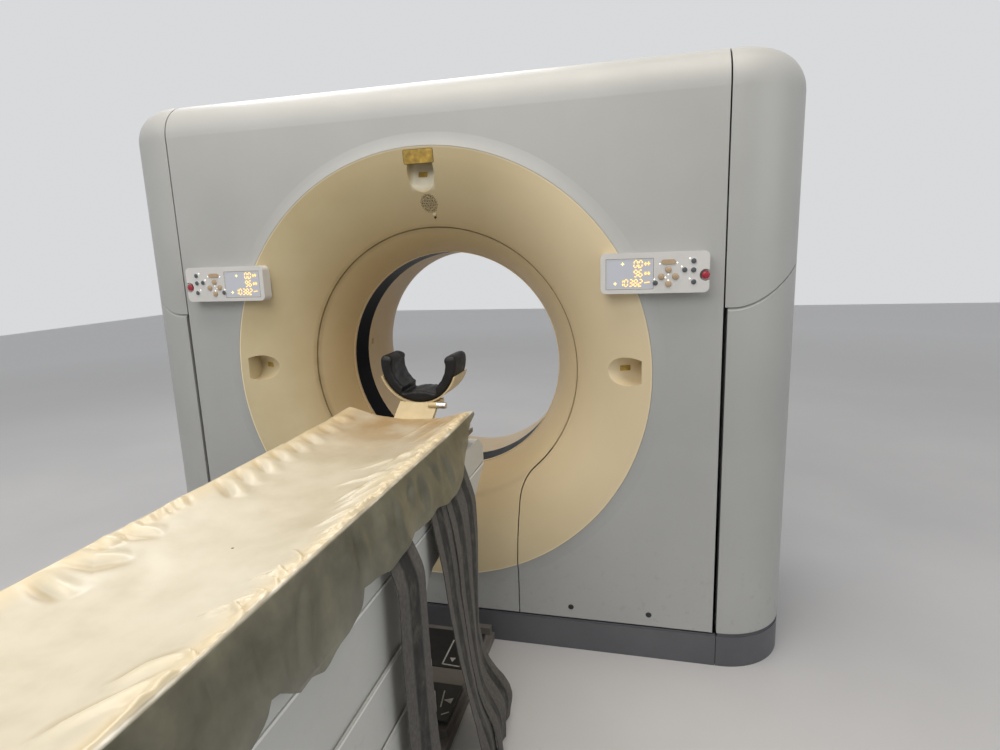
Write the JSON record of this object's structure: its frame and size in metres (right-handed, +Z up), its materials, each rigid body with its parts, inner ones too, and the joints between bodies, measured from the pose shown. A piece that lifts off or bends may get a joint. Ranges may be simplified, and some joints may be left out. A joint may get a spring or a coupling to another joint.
{
  "type": "ct scanner",
  "caption": "Whole-body scanner: tilting gantry with a wide bore and control panels, and a lifting couch with a sliding padded tabletop and head holder.",
  "frame": {"origin": "on the floor, straight below the centre of the scan plane, under the gantry base", "axes": "+Z up, +Y into the bore along its axis, +X to the right seen from the couch"},
  "size_m": [2.45, 3.525, 2.03],
  "materials": {
    "grey_cover": "satin warm grey paint, slightly yellowed",
    "cream_cover": "satin cream plastic, yellowed with age",
    "couch_panel": "satin light grey plastic",
    "plinth": "blue-grey metallic paint",
    "frame_paint": "black paint",
    "machined_steel": "machined",
    "rotor_alloy": "cast, machined faces",
    "window_film": "black, glossy",
    "inner_plastic": "plain moulding",
    "dark_plastic": "black, satin",
    "panel_plastic": "light grey, satin",
    "display": "pale backlit film",
    "key_beige": "beige, soft touch",
    "stop_red": "red, glossy",
    "belt_rubber": "black",
    "slip_brass": "polished tracks",
    "carbon": "black carbon-fibre laminate",
    "pad_vinyl": "cream vinyl over foam",
    "sheet_plastic": "thin clear plastic sheet, wrinkled",
    "strap_velour": "dark grey velour hook-and-loop strap",
    "cushion_foam": "black foam, wiped smooth",
    "knob_chrome": "polished",
    "pedal_rubber": "black, matt",
    "base_paint": "grey textured paint"
  },
  "bodies": {
    "base": {"base_frame": "frame_paint", "stand_left": "machined_steel", "stand_right": "machined_steel", "side_cover_left": "grey_cover", "side_cover_right": "grey_cover", "plinth_front": "plinth", "plinth_left": "plinth", "plinth_right": "plinth", "rear_base_cover": "grey_cover", "couch_base": "base_paint", "lower_skirt": "couch_panel"},
    "gantry": {"tilt_frame": "machined_steel", "bearing_outer": "machined_steel", "front_cover": "grey_cover", "front_dish": "cream_cover", "bore_cone": "cream_cover", "center_panel": "grey_cover", "scan_window": "window_film", "rear_cone": "cream_cover", "rear_cover": "grey_cover", "upper_cover_left": "grey_cover", "upper_cover_right": "grey_cover", "cover_screws": "dark_plastic", "drive_motor": "frame_paint", "drive_belt": "belt_rubber", "panel_housing_left": "panel_plastic", "panel_housing_right": "panel_plastic", "display_left": "display", "display_right": "display"},
    "rotor": {"rotor_drum": "rotor_alloy", "xray_tube": "machined_steel", "hv_tank": "machined_steel", "detector": "frame_paint", "slip_ring": "slip_brass"},
    "pulley": {"drive_pulley": "machined_steel"},
    "couch": {"couch_shell": "couch_panel", "couch_top": "couch_panel", "lift_column": "frame_paint"},
    "middle": {"middle_skirt": "couch_panel"},
    "table": {"tabletop": "carbon", "mattress": "pad_vinyl", "cover_sheet": "sheet_plastic", "head_holder": "cream_cover", "head_cushion": "cushion_foam", "straps": "strap_velour"},
    "knob": {"holder_knob": "knob_chrome"},
    "pedal_lift_plate": {"pedal_lift": "pedal_rubber"},
    "pedal_slide_plate": {"pedal_slide": "pedal_rubber"},
    "rocker_left_key": {"rocker_left": "key_beige"},
    "key_up_left_key": {"key_up_left": "key_beige"},
    "key_down_left_key": {"key_down_left": "key_beige"},
    "key_out_left_key": {"key_out_left": "key_beige"},
    "key_in_left_key": {"key_in_left": "key_beige"},
    "rocker_right_key": {"rocker_right": "key_beige"},
    "key_up_right_key": {"key_up_right": "key_beige"},
    "key_down_right_key": {"key_down_right": "key_beige"},
    "key_out_right_key": {"key_out_right": "key_beige"},
    "key_in_right_key": {"key_in_right": "key_beige"},
    "stop_left_head": {"stop_left": "stop_red"},
    "stop_right_head": {"stop_right": "stop_red"}
  },
  "joints": [
    {"name": "gantry_tilt", "type": "hinge", "parent": "base", "child": "gantry", "pos_m": [0, 0, 1.03], "axis": [-1, 0, 0], "range_deg": [-25, 25]},
    {"name": "rotor_spin", "type": "hinge", "parent": "gantry", "child": "rotor", "pos_m": [0, 0, 1.03], "axis": [0, 1, 0], "continuous": true},
    {"name": "pulley_spin", "type": "hinge", "parent": "gantry", "child": "pulley", "pos_m": [0.69, 0.08, 0.34], "axis": [0, 1, 0], "continuous": true},
    {"name": "couch_lift", "type": "slide", "parent": "base", "child": "couch", "axis": [0, 0, 1], "range_m": [-0.35, 0.06]},
    {"name": "middle_lift", "type": "slide", "parent": "base", "child": "middle", "axis": [0, 0, 1], "range_m": [-0.175, 0.03]},
    {"name": "table_slide", "type": "slide", "parent": "couch", "child": "table", "axis": [0, 1, 0], "range_m": [0, 1.9], "deforming": ["straps"]},
    {"name": "knob_turn", "type": "hinge", "parent": "table", "child": "knob", "pos_m": [0.08, -0.47, 0.94849], "axis": [1, 0, 0], "range_deg": [-180, 180]},
    {"name": "pedal_lift_rock", "type": "hinge", "parent": "base", "child": "pedal_lift_plate", "pos_m": [0, -0.516, 0.066], "axis": [0, 1, 0], "range_deg": [-2.2, 2.2], "stiffness_Nm_per_rad": 200},
    {"name": "pedal_slide_rock", "type": "hinge", "parent": "base", "child": "pedal_slide_plate", "pos_m": [0, -0.775, 0.066], "axis": [0, 1, 0], "range_deg": [-2.2, 2.2], "stiffness_Nm_per_rad": 200},
    {"name": "rocker_left_press", "type": "slide", "parent": "gantry", "child": "rocker_left_key", "axis": [0, 1, 0], "range_m": [0, 0.0015], "stiffness_N_per_m": 1500},
    {"name": "key_up_left_press", "type": "slide", "parent": "gantry", "child": "key_up_left_key", "axis": [0, 1, 0], "range_m": [0, 0.0015], "stiffness_N_per_m": 1500},
    {"name": "key_down_left_press", "type": "slide", "parent": "gantry", "child": "key_down_left_key", "axis": [0, 1, 0], "range_m": [0, 0.0015], "stiffness_N_per_m": 1500},
    {"name": "key_out_left_press", "type": "slide", "parent": "gantry", "child": "key_out_left_key", "axis": [0, 1, 0], "range_m": [0, 0.0015], "stiffness_N_per_m": 1500},
    {"name": "key_in_left_press", "type": "slide", "parent": "gantry", "child": "key_in_left_key", "axis": [0, 1, 0], "range_m": [0, 0.0015], "stiffness_N_per_m": 1500},
    {"name": "rocker_right_press", "type": "slide", "parent": "gantry", "child": "rocker_right_key", "axis": [0, 1, 0], "range_m": [0, 0.0015], "stiffness_N_per_m": 1500},
    {"name": "key_up_right_press", "type": "slide", "parent": "gantry", "child": "key_up_right_key", "axis": [0, 1, 0], "range_m": [0, 0.0015], "stiffness_N_per_m": 1500},
    {"name": "key_down_right_press", "type": "slide", "parent": "gantry", "child": "key_down_right_key", "axis": [0, 1, 0], "range_m": [0, 0.0015], "stiffness_N_per_m": 1500},
    {"name": "key_out_right_press", "type": "slide", "parent": "gantry", "child": "key_out_right_key", "axis": [0, 1, 0], "range_m": [0, 0.0015], "stiffness_N_per_m": 1500},
    {"name": "key_in_right_press", "type": "slide", "parent": "gantry", "child": "key_in_right_key", "axis": [0, 1, 0], "range_m": [0, 0.0015], "stiffness_N_per_m": 1500},
    {"name": "stop_left_press", "type": "slide", "parent": "gantry", "child": "stop_left_head", "axis": [0, 1, 0], "range_m": [0, 0.004]},
    {"name": "stop_right_press", "type": "slide", "parent": "gantry", "child": "stop_right_head", "axis": [0, 1, 0], "range_m": [0, 0.004]}
  ],
  "couplings": [
    {"joint": "pulley_spin", "follows": "rotor_spin", "ratio": 13.333},
    {"joint": "middle_lift", "follows": "couch_lift", "ratio": 0.5}
  ]
}
